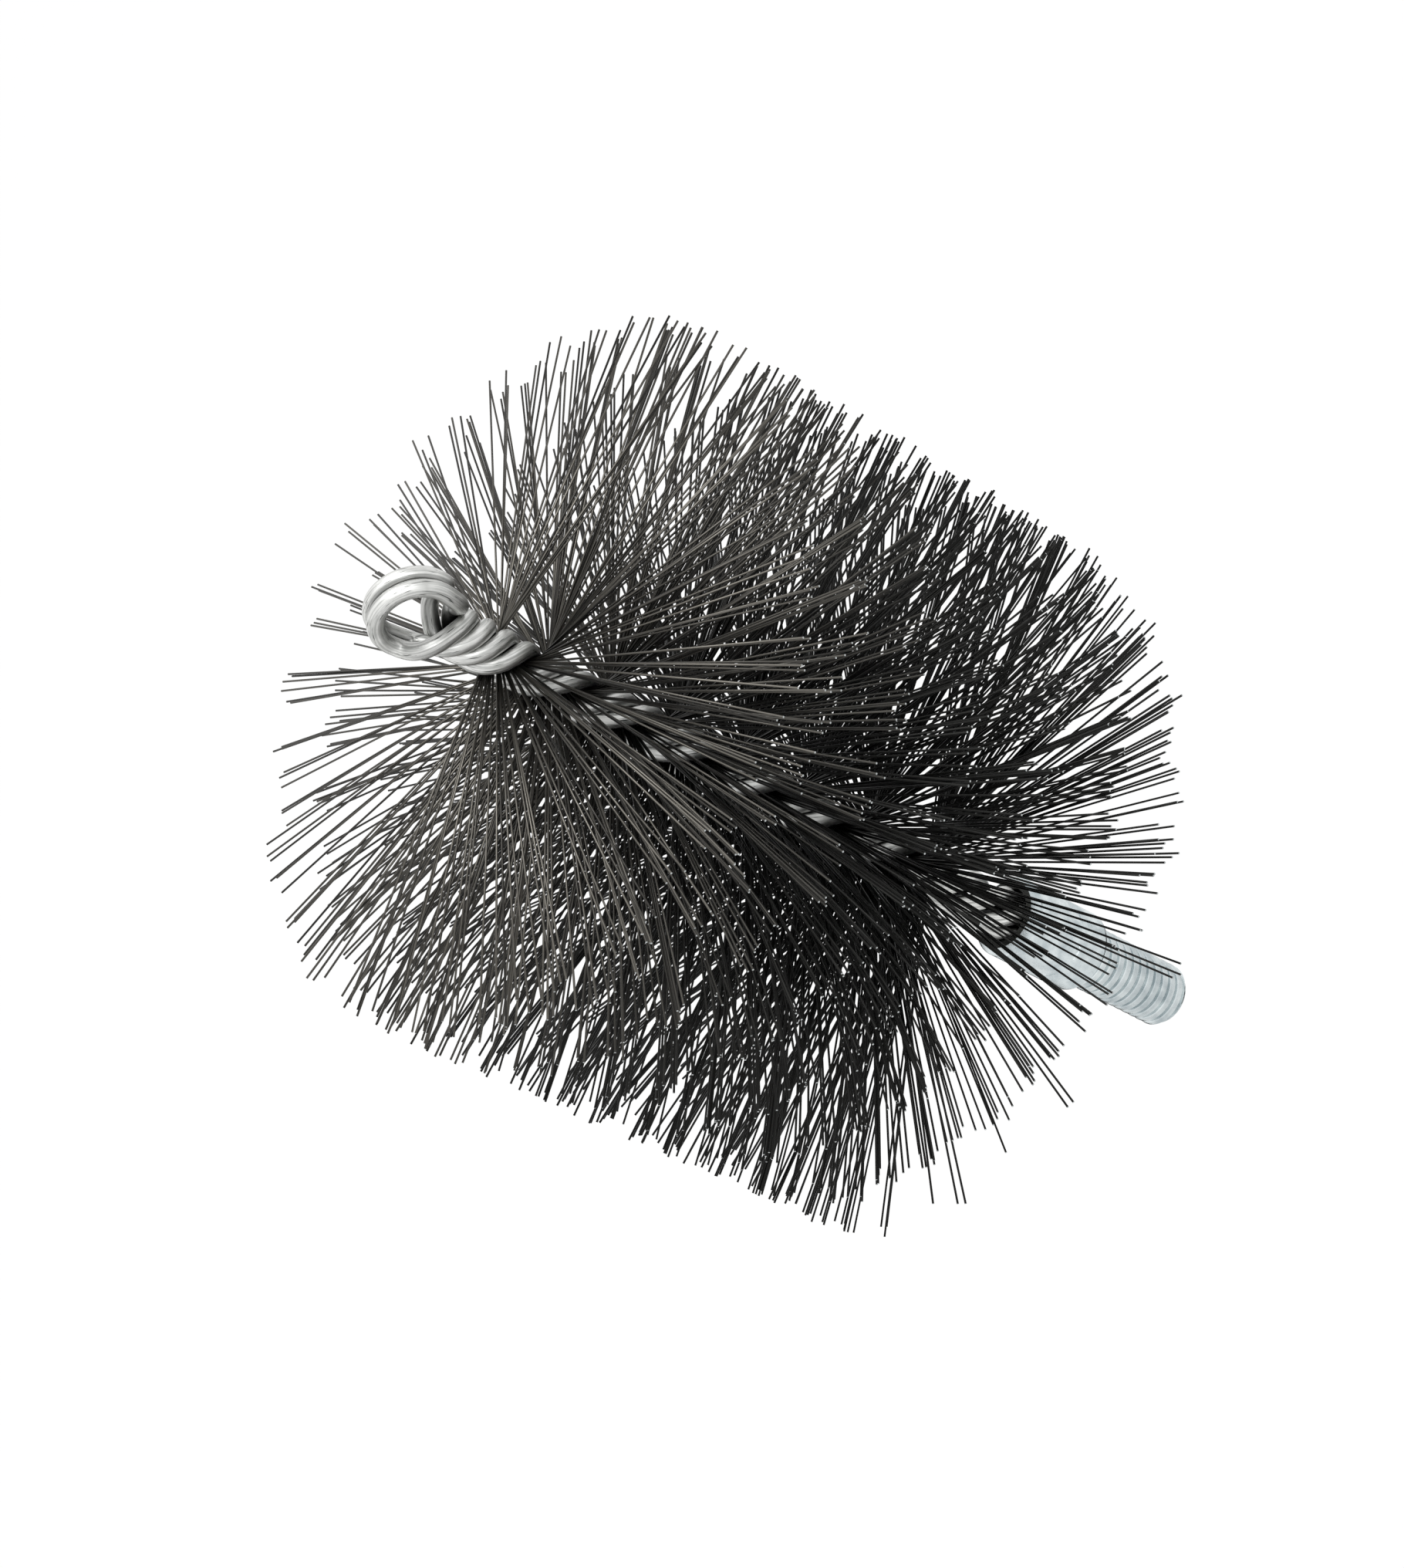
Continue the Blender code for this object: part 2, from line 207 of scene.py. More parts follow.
print("galvanised wire: streaks", round(STREAK_WIDTH / MM, 2), "mm wide")

# %% [markdown]
# Painted shade, with some grime, darkens the grooves between the legs near the stem's axis;
# painted shade alone darkens the groove between the eye's two rings and the inside of the rings.
# Both follow from the distance to an axis, so they need no painted picture.

# %% Galvanised wire: painted shade and grime in the grooves
GROOVE_FLOOR = 2.7 * MM          # from the stem's axis: full painted shade and grime at the floor of a groove,
GROOVE_LIP = 3.2 * MM            # none at its lip
RING_GROOVE = 0.6 * MM           # half the width of the groove between the eye's two rings
RING_SHADE = 0.85                # share of painted shade between the two rings of the eye
INSIDE_SHADE = 0.25              # and of painted shade on the inside of the rings
EYE_BLEND = 2 * MM               # the stem's rule fades into the eye's this far round the twist's end

axes = add(tree, "ShaderNodeSeparateXYZ", {0: place}).outputs
level = add(tree, "ShaderNodeCombineXYZ", {"X": axes["X"], "Y": axes["Y"]})
off_axis = add(tree, "ShaderNodeVectorMath", {0: level}, operation="LENGTH")
stem_groove = add(tree, "ShaderNodeMapRange",
                  {"Value": off_axis, "From Min": GROOVE_FLOOR, "From Max": GROOVE_LIP,
                   "To Min": 1.0, "To Max": 0.0})
off_middle = add(tree, "ShaderNodeMath", {0: axes["Y"]}, operation="ABSOLUTE")
eye_groove = add(tree, "ShaderNodeMapRange",
                 {"Value": off_middle, "From Min": 0.0, "From Max": RING_GROOVE,
                  "To Min": RING_SHADE, "To Max": 0.0})
up_from_eye = add(tree, "ShaderNodeMath", {0: axes["Z"], 1: eye_centre}, operation="SUBTRACT")
across_eye = add(tree, "ShaderNodeCombineXYZ", {"X": axes["X"], "Z": up_from_eye})
off_eye = add(tree, "ShaderNodeVectorMath", {0: across_eye}, operation="LENGTH")
eye_inside = add(tree, "ShaderNodeMapRange",
                 {"Value": off_eye, "From Min": EYE_RADIUS - STEM_WIRE / 2, "From Max": EYE_RADIUS,
                  "To Min": INSIDE_SHADE, "To Max": 0.0})
eye_shade = add(tree, "ShaderNodeMath", {0: eye_groove, 1: eye_inside}, operation="MAXIMUM")
in_eye = add(tree, "ShaderNodeMapRange",
             {"Value": axes["Z"], "From Min": twist_end - EYE_BLEND, "From Max": twist_end + EYE_BLEND})
groove = add(tree, "ShaderNodeMix", {"Factor": in_eye, "A": stem_groove, "B": eye_shade})
# painted shade, with some grime in the stem's grooves, darkens the wire's colour here
painted_shade_and_grime = add(tree, "ShaderNodeMix", {"Factor": groove, "A": scratched, "B": linear("353634")},
            data_type="RGBA")
surface = add(tree, "ShaderNodeBsdfPrincipled",
              {"Base Color": painted_shade_and_grime, "Roughness": satin, "Normal": relief, "Metallic": 1.0})
add(tree, "ShaderNodeOutputMaterial", {"Surface": surface})
print("galvanised wire:", len(tree.nodes), "nodes")

# %% [markdown]
# ## Finish of the bristles: dark oiled spring steel
#
# Bristle wire is hard, patented steel with a dark drawing skin and a film of oil: nearly black,
# a little warm, with one soft line of light along it. The cut ends are bare and bright. Each
# bristle carries its own tone, so that the brush doesn't look like one block.

# %% Dark bristle wire
LIGHTER_FROM = 112 * MM              # above this height the bristles grow lighter, up to the eye's end

bristle_finish = new_finish("dark_oiled_spring_steel")
tree = bristle_finish.node_tree
tone = add(tree, "ShaderNodeAttribute", attribute_name="tone").outputs["Fac"]
cut = add(tree, "ShaderNodeAttribute", attribute_name="cut_end").outputs["Fac"]
place = add(tree, "ShaderNodeTexCoord").outputs["Object"]
height = add(tree, "ShaderNodeSeparateXYZ", {0: place}).outputs["Z"]
# the bristles' colour turns lighter with height towards the eye's end
eye_end_share = add(tree, "ShaderNodeMapRange", {"Value": height, "From Min": LIGHTER_FROM, "From Max": zone_top},
              interpolation_type="SMOOTHSTEP")
stud_end_tones = add(tree, "ShaderNodeMix", {"Factor": tone, "A": linear("1e1e1d"), "B": linear("2b2b2a")},
           data_type="RGBA")
eye_end_tones = add(tree, "ShaderNodeMix", {"Factor": tone, "A": linear("353432"), "B": linear("6c6963")},
          data_type="RGBA")
skin = add(tree, "ShaderNodeMix", {"Factor": eye_end_share, "A": stud_end_tones, "B": eye_end_tones}, data_type="RGBA")
with_cut = add(tree, "ShaderNodeMix", {"Factor": cut, "A": skin, "B": linear("b9bdbd")}, data_type="RGBA")
surface = add(tree, "ShaderNodeBsdfPrincipled", {"Base Color": with_cut, "Roughness": 0.38, "Metallic": 1.0})
add(tree, "ShaderNodeOutputMaterial", {"Surface": surface})
print("bristle wire: two dark tones and a bright cut end")

# %% [markdown]
# ## Finish of the fitting: bright zinc plating
#
# Turned free-cutting steel, zinc plated and passivated: a bluish, slightly cloudy white metal.
# The lathe's fine rings show through the plating. Painted shade darkens the bore and the end face round it.
# Rings need no picture: they are noise that only sees the height along the axis.

# %% Bright zinc
RING_WIDTH = 0.12 * MM           # feed marks of the lathe, drawn a little coarser than real
CLOUD_SIZE = 3.0 * MM
GRAIN_SIZE = 0.35 * MM

zinc = new_finish("bright_zinc_plated_steel")
tree = zinc.node_tree
place = add(tree, "ShaderNodeTexCoord").outputs["Object"]
height = add(tree, "ShaderNodeSeparateXYZ", {0: place}).outputs["Z"]
rings = add(tree, "ShaderNodeTexNoise", {"W": height, "Scale": 1 / RING_WIDTH, "Detail": 1.0},
            noise_dimensions="1D")
clouds = add(tree, "ShaderNodeTexNoise", {"Vector": place, "Scale": 1 / CLOUD_SIZE, "Detail": 4.0})
grain = add(tree, "ShaderNodeTexNoise", {"Vector": place, "Scale": 1 / GRAIN_SIZE, "Detail": 2.0})
cloud_share = add(tree, "ShaderNodeMapRange", {"Value": clouds, "From Min": 0.28, "From Max": 0.72})
plated = add(tree, "ShaderNodeMix", {"Factor": cloud_share, "A": linear("aeb9bd"), "B": linear("e4ebec")},
             data_type="RGBA")
# painted shade on the bore, the end face and the thread's crests, and painted shade with some dirt in the
# thread's roots
shade_and_dirt_share = add(tree, "ShaderNodeAttribute", attribute_name="painted_shade_and_dirt").outputs["Fac"]
body_colour = add(tree, "ShaderNodeMix", {"Factor": shade_and_dirt_share, "A": plated, "B": linear("464745")},
                  data_type="RGBA")
rough = add(tree, "ShaderNodeMapRange",
            {"Value": grain, "From Min": 0.3, "From Max": 0.7, "To Min": 0.18, "To Max": 0.36})
ring_relief = add(tree, "ShaderNodeBump", {"Height": rings, "Strength": 0.3, "Distance": 0.02 * MM})
surface = add(tree, "ShaderNodeBsdfPrincipled",
              {"Base Color": body_colour, "Roughness": rough, "Normal": ring_relief, "Metallic": 1.0})
add(tree, "ShaderNodeOutputMaterial", {"Surface": surface})
print("bright zinc: rings", round(RING_WIDTH / MM, 2), "mm apart")

# %% [markdown]
# ## The twist
#
# Both the stem wires and the bristles follow one rule: how far the stem has turned at each height.
# It is tight in the bare shank by the eye, slackens where the bristles begin, and stays even from
# there to the fitting. The turn grows downwards, which makes the stem left-handed.

# %% How far the stem has turned
def twist_rate(z):
    return zone_rate + (shank_rate - zone_rate) * math.exp(min(0.0, z - ease_start) / EASE_LENGTH)


def twist_angle(z):
    """How far the stem has turned at height z."""
    if z >= ease_start:
        return TWIST_START + shank_rate * (twist_end - z)
    eased = (shank_rate - zone_rate) * EASE_LENGTH * (1 - math.exp((z - ease_start) / EASE_LENGTH))
    return TWIST_START + shank_rate * (twist_end - ease_start) + zone_rate * (ease_start - z) + eased


print(f"the stem makes {twist_angle(wire_bottom) / (2 * math.pi):.1f} turns")

# %% [markdown]
# ## The stem wires
#
# Two wires are each folded in half. The folds lie side by side as the eye, and the four legs are
# twisted. Where bristles are clamped, the legs close up in pairs, one pair on each side of the
# row of bristles. The path is worked out point by point, because it is exact maths; the wire
# itself is swept along it with Geometry Nodes, which also press shallow dings into it.

# %% Path of a folded stem wire
PAIR_CLOSING = math.radians(8.5)     # how far the legs of a pair turn towards each other
PAIR_SINK = 0.33 * MM                # and towards the axis
PAIR_EASE = 7.0 * MM
LEG_SWELL = 0.38 * MM            # the legs stand wider where the twist ends
SWELL_LENGTH = 3.4 * MM
EYE_SIDE = (SOLID_WIRE + SOLID_GAP) / 2
CROSSING_OPEN = math.radians(3.6)    # where the eye's round is left by the leg that crosses in front
OUTER_OPEN = math.radians(5.5)       # and by the leg that stays on its own side
CROSSING_SHARES = (0.42, 0.72)       # handles of the two bends, as shares of their span
OUTER_SHARES = (0.85, 0.32)
LEG_STEP = math.radians(7.5)
ARC_POINTS = 72
BEND_POINTS = 24


def smooth(share):
    share = min(1.0, max(0.0, share))
    return share * share * (3 - 2 * share)


def clamped(z):
    """How firmly bristles hold the legs in pairs at height z, from 0 to 1."""
    return smooth((zone_top - z) / PAIR_EASE) * smooth((z - zone_bottom) / PAIR_EASE)


def leg_point(z, start_angle, pair_side):
    hold = clamped(z)
    angle = start_angle + twist_angle(z) + pair_side * PAIR_CLOSING * hold
    swell = max(0.0, 1 - (twist_end - z) / SWELL_LENGTH)
    radius = LEG_CIRCLE + LEG_SWELL * swell * swell - PAIR_SINK * hold
    return Vector((radius * math.cos(angle), radius * math.sin(angle), z))


def leg_points(start_angle, pair_side):
    points = []
    z = twist_end
    while z > wire_bottom + STEM_WIRE / 2:
        points.append(leg_point(z, start_angle, pair_side))
        z -= LEG_STEP / twist_rate(z)
    return points


def bend_points(start, start_way, end, end_way, shares):
    """The bend between the eye's round and a leg, as a Bezier curve."""
    span = (end - start).length
    first = start + start_way.normalized() * span * shares[0]
    second = end - end_way.normalized() * span * shares[1]
    points = []
    for index in range(1, BEND_POINTS + 1):
        t = index / (BEND_POINTS + 1)
        s = 1 - t
        points.append(start * s**3 + first * 3 * s * s * t + second * 3 * s * t * t + end * t**3)
    return points


def folded_wire_path():
    crossing = leg_points(math.radians(270), -1)
    outer = leg_points(0.0, 1)
    arc_turn = math.pi + CROSSING_OPEN + OUTER_OPEN
    arc = []
    for index in range(ARC_POINTS):
        angle = math.pi + CROSSING_OPEN - arc_turn * index / (ARC_POINTS - 1)
        height = eye_centre + EYE_RADIUS * math.sin(angle)
        arc.append(Vector((EYE_RADIUS * math.cos(angle), -EYE_SIDE, height)))
    first_way = Vector((math.sin(CROSSING_OPEN), 0, -math.cos(CROSSING_OPEN)))
    last_way = Vector((-math.sin(OUTER_OPEN), 0, -math.cos(OUTER_OPEN)))
    into_round = bend_points(arc[0], first_way, crossing[0], crossing[1] - crossing[0], CROSSING_SHARES)
    out_of_round = bend_points(arc[-1], last_way, outer[0], outer[1] - outer[0], OUTER_SHARES)
    return crossing[::-1] + into_round[::-1] + arc + out_of_round + outer


def line_mesh(name, points, loose_points=()):
    mesh = bpy.data.meshes.new(name)
    steps = [(index, index + 1) for index in range(len(points) - 1)]
    mesh.from_pydata([tuple(point) for point in (*points, *loose_points)], steps, [])
    return mesh


front_path = folded_wire_path()
back_path = [Matrix.Rotation(math.pi, 3, "Z") @ point for point in front_path]
print("points on a stem wire's path:", len(front_path))

# %% [markdown]
# A bevelled curve would do for a plain wire. Nodes sweep the same circle, and they also store how
# far along and where round each point lies, which the finish needs, and press dings into the skin.

# %% Geometry Nodes that draw a wire along a path
def new_shape_tree(name, inputs):
    """An empty Geometry Nodes tree with named inputs: (name, socket type, default)."""
    tree = bpy.data.node_groups.new(name, "GeometryNodeTree")
    tree.interface.new_socket("Geometry", in_out="INPUT", socket_type="NodeSocketGeometry")
    tree.interface.new_socket("Geometry", in_out="OUTPUT", socket_type="NodeSocketGeometry")
    for label, kind, value in inputs:
        socket = tree.interface.new_socket(label, in_out="INPUT", socket_type=kind)
        if value is not None:
            socket.default_value = value
    return tree


tree = new_shape_tree("wire_along_path", [
    ("Diameter", "NodeSocketFloat", STEM_WIRE),
    ("Sides", "NodeSocketInt", 20),
    ("Ding depth", "NodeSocketFloat", 0.06 * MM),
    ("Ding size", "NodeSocketFloat", 2.6 * MM),
    ("Seed", "NodeSocketFloat", 0.0),
    ("Finish", "NodeSocketMaterial", None)])
given = add(tree, "NodeGroupInput").outputs
path = add(tree, "GeometryNodeMeshToCurve", {0: given["Geometry"]})
run = add(tree, "GeometryNodeSplineParameter")
marked_path = add(tree, "GeometryNodeStoreNamedAttribute",
                  {"Geometry": path, "Name": "along", "Value": run.outputs["Length"]})
radius = add(tree, "ShaderNodeMath", {0: given["Diameter"], 1: 0.5}, operation="MULTIPLY")
round_profile = add(tree, "GeometryNodeCurvePrimitiveCircle",
                    {"Resolution": given["Sides"], "Radius": radius})
own_place = add(tree, "GeometryNodeInputPosition")
marked_profile = add(tree, "GeometryNodeStoreNamedAttribute",
                     {"Geometry": round_profile, "Name": "around", "Value": own_place},
                     data_type="FLOAT_VECTOR")
swept = add(tree, "GeometryNodeCurveToMesh",
            {"Curve": marked_path, "Profile Curve": marked_profile, "Fill Caps": True})
ding_scale = add(tree, "ShaderNodeMath", {0: 1.0, 1: given["Ding size"]}, operation="DIVIDE")
dings = add(tree, "ShaderNodeTexNoise",
            {"Vector": own_place, "W": given["Seed"], "Scale": ding_scale, "Detail": 1.5},
            noise_dimensions="4D")
ding_share = add(tree, "ShaderNodeMapRange", {"Value": dings, "From Min": 0.5, "From Max": 0.75})
ding = add(tree, "ShaderNodeMath", {0: ding_share, 1: given["Ding depth"]}, operation="MULTIPLY")
outwards = add(tree, "GeometryNodeInputNormal")
inwards = add(tree, "ShaderNodeVectorMath", {0: outwards, 1: (-1, -1, -1)}, operation="MULTIPLY")
push = add(tree, "ShaderNodeVectorMath", {0: inwards, "Scale": ding}, operation="SCALE")
dinged = add(tree, "GeometryNodeSetPosition", {"Geometry": swept, "Offset": push})
rounded = add(tree, "GeometryNodeSetShadeSmooth", {0: dinged})
real = add(tree, "GeometryNodeRealizeInstances", {0: rounded})
finished = add(tree, "GeometryNodeSetMaterial", {"Geometry": real, "Material": given["Finish"]})
add(tree, "NodeGroupOutput", {0: finished})
print("wire tree:", len(tree.nodes), "nodes")

# %% [markdown]
# A tree runs as a modifier, and its inputs are set by their identifiers. The mesh that it makes is
# then kept as a plain one, so that the piece needs neither the modifier nor the tree any more.

# %% Run a tree on a piece, keep the plain mesh, and draw both stem wires
def grow(piece, tree, values):
    """Run a Geometry Nodes tree on a piece with these inputs, and keep the mesh it makes."""
    modifier = piece.modifiers.new(tree.name, "NODES")
    modifier.node_group = tree
    sockets = {item.name: item.identifier for item in tree.interface.items_tree if item.in_out == "INPUT"}
    for label, value in values.items():
        modifier[sockets[label]] = value
    evaluated = piece.evaluated_get(bpy.context.evaluated_depsgraph_get())
    mesh = bpy.data.meshes.new_from_object(evaluated)
    piece.modifiers.clear()
    piece.data = mesh
    mesh.name = piece.name
    print(f"{piece.name}: {sum(len(face.vertices) - 2 for face in mesh.polygons)} triangles")


for side, wire_path in (("front", front_path), ("back", back_path)):
    wire = new_piece(f"{side}_stem_wire", line_mesh(f"{side}_path", wire_path), None)
    grow(wire, tree, {"Seed": 1.0 if side == "front" else 5.0, "Finish": galvanised})
    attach(wire, "root")
    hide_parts(f"stem_wire_{side}")

# %% [markdown]
# ## The bristles
#
# Each bristle is one straight wire through the stem, held between the two pairs of legs. As the
# stem turns, the wires fan out into two opposite screw-shaped sheets. Well over a thousand wires
# are far too many to place by hand, so Geometry Nodes do it: a line up the stem's axis gives each
# wire its height and heading, random numbers spread it, and neighbours are drawn together in
# clumps, as oily wires are. Near the eye the wires lean back towards the stud, and the last ones
# at the other end are tilted.

# %% The line that the bristles follow, and a few stray wires
GUIDE_STEP = 0.25 * MM
SHEET_TURN = math.radians(-45)       # the bristles pass between the legs of one wire
# Loose wires that stick out of the sheets: heading in degrees, height of the tip in mm
STRAYS = ((322, 64.0), (305, 53.9), (306.5, 55.4), (304, 54.9), (278, 59.4), (279.5, 60.2), (267, 63.6),
          (248, 51.8), (250, 52.4), (249, 59.9), (223.6, 50.9), (222, 51.5), (215.5, 52.9))
STRAY_LIMIT = math.radians(115)      # turn above the first wire: none starts further up


def stray_root(heading):
    """Height of the lowest wires that point this way."""
    lowest = (twist_angle(zone_bottom) + SHEET_TURN - heading) % math.pi
    return zone_bottom + min(lowest, STRAY_LIMIT) / zone_rate


def new_guide(name, heights):
    """A line up the axis, whose points know the bristles' heading, and the roots of the stray wires."""
    roots = [Vector((0, 0, stray_root(math.radians(heading)))) for heading, tip in STRAYS]
    mesh = line_mesh(name, [Vector((0, 0, z)) for z in heights], roots)
    headings = [twist_angle(z) + SHEET_TURN for z in heights] + [0.0] * len(STRAYS)
    mesh.attributes.new("heading", "FLOAT", "POINT").data.foreach_set("value", headings)
    loose = [False] * len(heights) + [True] * len(STRAYS)
    mesh.attributes.new("stray", "BOOLEAN", "POINT").data.foreach_set("value", loose)
    aims = [Vector((0, 0, 1))] * len(heights)
    for (heading, tip), root in zip(STRAYS, roots):
        turn = math.radians(heading)
        aims.append(Vector((BRISTLE_REACH * math.cos(turn), BRISTLE_REACH * math.sin(turn), tip * MM)) - root)
    mesh.attributes.new("aim", "FLOAT_VECTOR", "POINT").data.foreach_set(
        "vector", [value for aim in aims for value in aim])
    return mesh


guide_count = int((zone_top - zone_bottom) / GUIDE_STEP)
guide_heights = [zone_bottom + (zone_top - zone_bottom) * i / guide_count for i in range(guide_count + 1)]
sheet_turn_total = twist_angle(zone_bottom) - twist_angle(zone_top)
print(f"the sheets of bristles turn {math.degrees(sheet_turn_total):.0f} degrees")

# %% [markdown]
# The tree could hold its numbers inside, but as named inputs they can be read and changed in one
# place. A random draw is shared by everything that has the same number, so one draw can turn a
# single wire or a whole clump.

# %% Inputs of the bristle tree, random draws and places on the line
BRISTLE_WIRES = 930
TILT_HEADING = math.radians(31)      # by the stud, the wires that point this way tilt up most
tree = new_shape_tree("bristles_on_stem", [
    ("Wires", "NodeSocketInt", BRISTLE_WIRES),
    ("Diameter", "NodeSocketFloat", 0.36 * MM),
    ("Reach", "NodeSocketFloat", BRISTLE_REACH),
    ("Cut spread", "NodeSocketFloat", 2.2 * MM),
    ("Pack thickness", "NodeSocketFloat", 0.7 * MM),
    ("Wire yaw", "NodeSocketFloat", math.radians(1.4)),
    ("Wire rise", "NodeSocketFloat", 1.6 * MM),
    ("Clump yaw", "NodeSocketFloat", math.radians(2.0)),
    ("Clump rise", "NodeSocketFloat", 2.2 * MM),
    ("Clump size", "NodeSocketFloat", 3.0),
    ("Clump pull", "NodeSocketFloat", 0.6),
    ("Crowding", "NodeSocketFloat", 0.27),
    ("Zone bottom", "NodeSocketFloat", zone_bottom),
    ("Zone top", "NodeSocketFloat", zone_top),
    ("Lean", "NodeSocketFloat", 10 * MM),
    ("Lean length", "NodeSocketFloat", 16 * MM),
    ("Tilt", "NodeSocketFloat", 10 * MM),
    ("Tilt length", "NodeSocketFloat", 24 * MM),
    ("Tilt heading", "NodeSocketVector", (math.cos(TILT_HEADING), math.sin(TILT_HEADING), 0)),
    ("Seed", "NodeSocketInt", 3),
    ("Finish", "NodeSocketMaterial", None)])
given = add(tree, "NodeGroupInput").outputs
guide = add(tree, "GeometryNodeMeshToCurve", {0: given["Geometry"]})
guide_heading = add(tree, "GeometryNodeInputNamedAttribute", {"Name": "heading"}, data_type="FLOAT")


def spread(amount, draw, who):
    """A random number from -amount to amount, the same for all that share who. Each draw has a number."""
    least = add(tree, "ShaderNodeMath", {0: amount, 1: -1.0}, operation="MULTIPLY")
    seed = add(tree, "ShaderNodeMath", {0: given["Seed"], 1: draw})
    return add(tree, "FunctionNodeRandomValue",
               {"Min": least, "Max": amount, "ID": who, "Seed": seed}, data_type="FLOAT")


def station(number):
    """Heading and place of a wire's clamped middle. Crowding packs them closer by the stud."""
    share = add(tree, "ShaderNodeMath", {0: number, 1: given["Wires"]}, operation="DIVIDE")
    least = add(tree, "ShaderNodeMath", {0: 1.0, 1: given["Crowding"]}, operation="SUBTRACT")
    bend = add(tree, "ShaderNodeMath", {0: share, 1: given["Crowding"], 2: least}, operation="MULTIPLY_ADD")
    bent = add(tree, "ShaderNodeMath", {0: share, 1: bend}, operation="MULTIPLY")
    found = add(tree, "GeometryNodeSampleCurve",
                {"Curves": guide, "Value": guide_heading, "Factor": bent}, mode="FACTOR", data_type="FLOAT")
    return found.outputs["Value"], found.outputs["Position"]


print("wires to clamp:", BRISTLE_WIRES)

# %% [markdown]
# Every wire becomes two points, one for each side, which share the wire's number, its clump and
# its place on the stem. The heading is drawn to that of the clump's middle, and then turned a
# little by the clump and by the wire.

# %% Numbers, clumps and headings of the bristles
doubled = add(tree, "ShaderNodeMath", {0: given["Wires"], 1: 2.0}, operation="MULTIPLY")
halves = add(tree, "GeometryNodePoints", {"Count": doubled})
half_number = add(tree, "GeometryNodeInputIndex")
half_share = add(tree, "ShaderNodeMath", {0: half_number, 1: 2.0}, operation="DIVIDE")
wire_number = add(tree, "ShaderNodeMath", {0: half_share}, operation="FLOOR")
other_side = add(tree, "ShaderNodeMath", {0: half_number, 1: 2.0}, operation="FLOORED_MODULO")
side_sign = add(tree, "ShaderNodeMath", {0: other_side, 1: -2.0, 2: 1.0}, operation="MULTIPLY_ADD")
clump_share = add(tree, "ShaderNodeMath", {0: wire_number, 1: given["Clump size"]}, operation="DIVIDE")
clump_number = add(tree, "ShaderNodeMath", {0: clump_share}, operation="FLOOR")
middle_share = add(tree, "ShaderNodeMath", {0: clump_number, 1: 0.5})
middle = add(tree, "ShaderNodeMath", {0: middle_share, 1: given["Clump size"]}, operation="MULTIPLY")
own_heading, here = station(wire_number)
clump_heading = station(middle)[0]
drawn_heading = add(tree, "ShaderNodeMix",
                    {"Factor": given["Clump pull"], "A": own_heading, "B": clump_heading})
outward = add(tree, "ShaderNodeVectorRotate", {"Vector": (1, 0, 0), "Angle": drawn_heading},
              rotation_type="Z_AXIS")
own_side = add(tree, "ShaderNodeVectorMath", {0: outward, "Scale": side_sign}, operation="SCALE")
yaw = add(tree, "ShaderNodeMath",
          {0: spread(given["Clump yaw"], 1, clump_number), 1: spread(given["Wire yaw"], 2, half_number)})
headed = add(tree, "ShaderNodeVectorRotate", {"Vector": own_side, "Angle": yaw}, rotation_type="Z_AXIS")
print("bristle tree:", len(tree.nodes), "nodes up to the heading")

# %% [markdown]
# The tip of a wire rises or sinks by four amounts: the clump's, the wire's own, the tilt by the
# stud, which depends on where the wire points, and the lean by the eye. The last two grow with
# the square of the way into the end of the brush.

# %% How far the tips rise
height = add(tree, "ShaderNodeSeparateXYZ", {0: here}).outputs["Z"]
rise_clump = add(tree, "ShaderNodeMath",
                 {0: spread(given["Clump rise"], 3, clump_number), 1: side_sign}, operation="MULTIPLY")
rise_wire = add(tree, "ShaderNodeMath", {0: rise_clump, 1: spread(given["Wire rise"], 4, half_number)})
lean_from = add(tree, "ShaderNodeMath", {0: given["Zone top"], 1: given["Lean length"]},
                operation="SUBTRACT")
lean_share = add(tree, "ShaderNodeMapRange",
                 {"Value": height, "From Min": lean_from, "From Max": given["Zone top"]})
lean_curve = add(tree, "ShaderNodeMath", {0: lean_share, 1: 2.0}, operation="POWER")
tilt_to = add(tree, "ShaderNodeMath", {0: given["Zone bottom"], 1: given["Tilt length"]})
tilt_share = add(tree, "ShaderNodeMapRange",
                 {"Value": height, "From Min": tilt_to, "From Max": given["Zone bottom"]})
tilt_curve = add(tree, "ShaderNodeMath", {0: tilt_share, 1: 2.0}, operation="POWER")
tilt_way = add(tree, "ShaderNodeVectorMath", {0: headed, 1: given["Tilt heading"]}, operation="DOT_PRODUCT")
tilt_size = add(tree, "ShaderNodeMath", {0: tilt_curve, 1: given["Tilt"]}, operation="MULTIPLY")
tilted = add(tree, "ShaderNodeMath", {0: tilt_size, 1: tilt_way, 2: rise_wire}, operation="MULTIPLY_ADD")
lean_size = add(tree, "ShaderNodeMath", {0: lean_curve, 1: given["Lean"]}, operation="MULTIPLY")
rise = add(tree, "ShaderNodeMath", {0: tilted, 1: lean_size}, operation="SUBTRACT")
slope = add(tree, "ShaderNodeMath", {0: rise, 1: given["Reach"]}, operation="DIVIDE")
upward = add(tree, "ShaderNodeCombineXYZ", {"Z": slope})
aim = add(tree, "ShaderNodeVectorMath", {0: headed, 1: upward})
aimed = add(tree, "GeometryNodeStoreNamedAttribute",
            {"Geometry": halves, "Name": "aim", "Value": aim}, data_type="FLOAT_VECTOR")
print("bristle tree:", len(tree.nodes), "nodes up to the aim")

# %% [markdown]
# The wires lie side by side where the legs clamp them, so each root stands a little off the axis.
# The stray wires start on it.

